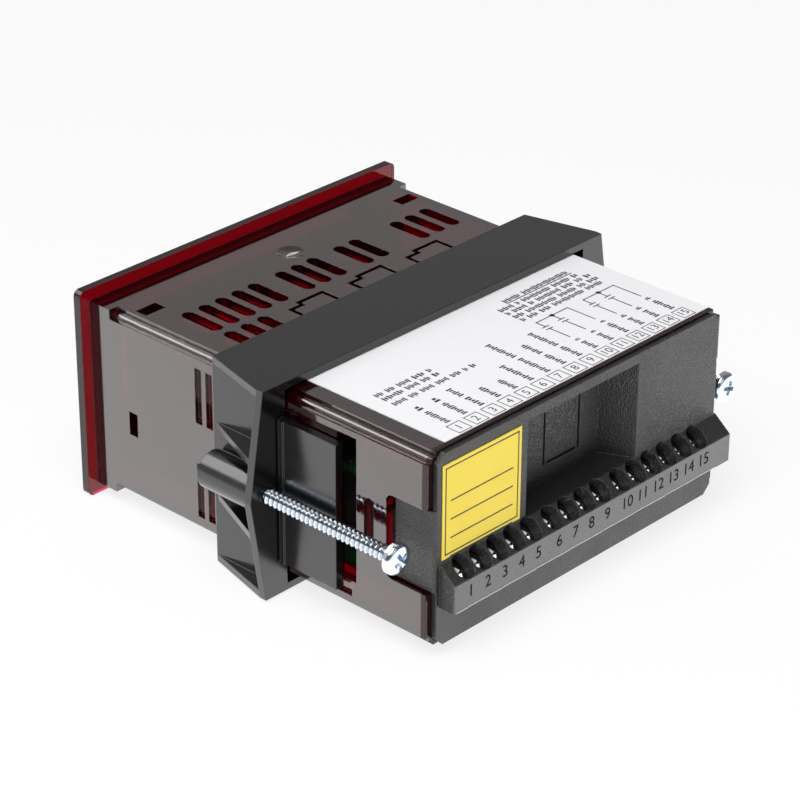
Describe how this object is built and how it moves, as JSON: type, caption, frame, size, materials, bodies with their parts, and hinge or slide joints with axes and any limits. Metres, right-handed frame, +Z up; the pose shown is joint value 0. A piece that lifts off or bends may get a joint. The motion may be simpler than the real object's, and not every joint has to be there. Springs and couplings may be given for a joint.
{
  "type": "digital panel meter",
  "caption": "Digital panel meter in a smoked ruby case, with a sliding clamp frame, long clamp screws, a labelled rear cover and a row of screw terminals.",
  "frame": {"origin": "centre of the bezel's back face, where the panel's front surface seats", "axes": "+Z up, the display faces -Y, +Y runs back through the panel to the terminals, +X to the right seen from the front"},
  "size_m": [0.1122, 0.1064, 0.0494],
  "materials": {
    "ruby_plastic": "smoked transparent ruby, polished",
    "black_film": "printed film, satin",
    "key_rubber": "matt",
    "board_green": "solder resist, semi gloss",
    "digit_grey": "moulded, satin",
    "lamp_red": "tinted, clear",
    "switch_black": "moulded",
    "link_black": "moulded",
    "core_iron": "varnished",
    "relay_blue": "moulded",
    "can_sleeve": "shrink sleeve",
    "chip_black": "moulded",
    "housing_black": "moulded",
    "clamp_brass": "plated",
    "zinc_steel": "bright zinc plate",
    "grained_black": "fine moulded grain",
    "latch_black": "moulded, satin",
    "label_white": "printed film",
    "label_yellow": "printed film"
  },
  "bodies": {
    "case": {"case": "ruby_plastic", "front_overlay": "black_film", "top_label": "label_white"},
    "base": {"rear_cover": "grained_black", "rear_label": "label_yellow", "main_board": "board_green", "signal_board": "board_green", "board_link": "link_black", "display_link": "link_black", "display_board": "board_green", "digit_modules": "digit_grey", "annunciator_leds": "lamp_red", "key_switches": "switch_black", "power_transformer": "core_iron", "relay_one": "relay_blue", "relay_two": "relay_blue", "bulk_capacitor": "can_sleeve", "output_capacitors": "can_sleeve", "logic_chip": "chip_black", "input_chip": "chip_black", "terminal_block_power": "housing_black", "terminal_block_signal": "housing_black", "terminal_block_relay": "housing_black", "wire_clamps": "clamp_brass", "terminal_screws": "zinc_steel"},
    "latch": {"panel_latch": "latch_black"},
    "screw_left": {"clamp_screw_left": "zinc_steel"},
    "screw_right": {"clamp_screw_right": "zinc_steel"},
    "key_left": {"key_left": "key_rubber"},
    "key_middle": {"key_middle": "key_rubber"},
    "key_right": {"key_right": "key_rubber"}
  },
  "joints": [
    {"name": "base_slide", "type": "slide", "parent": "case", "child": "base", "axis": [0, 1, 0], "range_m": [0, 0.09]},
    {"name": "latch_slide", "type": "slide", "parent": "case", "child": "latch", "axis": [0, 1, 0], "range_m": [-0.038, 0.06]},
    {"name": "screw_left_drive", "type": "slide", "parent": "latch", "child": "screw_left", "axis": [0, 1, 0], "range_m": [-0.018, 0.015]},
    {"name": "screw_right_drive", "type": "slide", "parent": "latch", "child": "screw_right", "axis": [0, 1, 0], "range_m": [-0.0195, 0.015]},
    {"name": "key_left_press", "type": "slide", "parent": "case", "child": "key_left", "axis": [0, 1, 0], "range_m": [0, 0.0007], "stiffness_N_per_m": 1500},
    {"name": "key_middle_press", "type": "slide", "parent": "case", "child": "key_middle", "axis": [0, 1, 0], "range_m": [0, 0.0007], "stiffness_N_per_m": 1500},
    {"name": "key_right_press", "type": "slide", "parent": "case", "child": "key_right", "axis": [0, 1, 0], "range_m": [0, 0.0007], "stiffness_N_per_m": 1500}
  ]
}
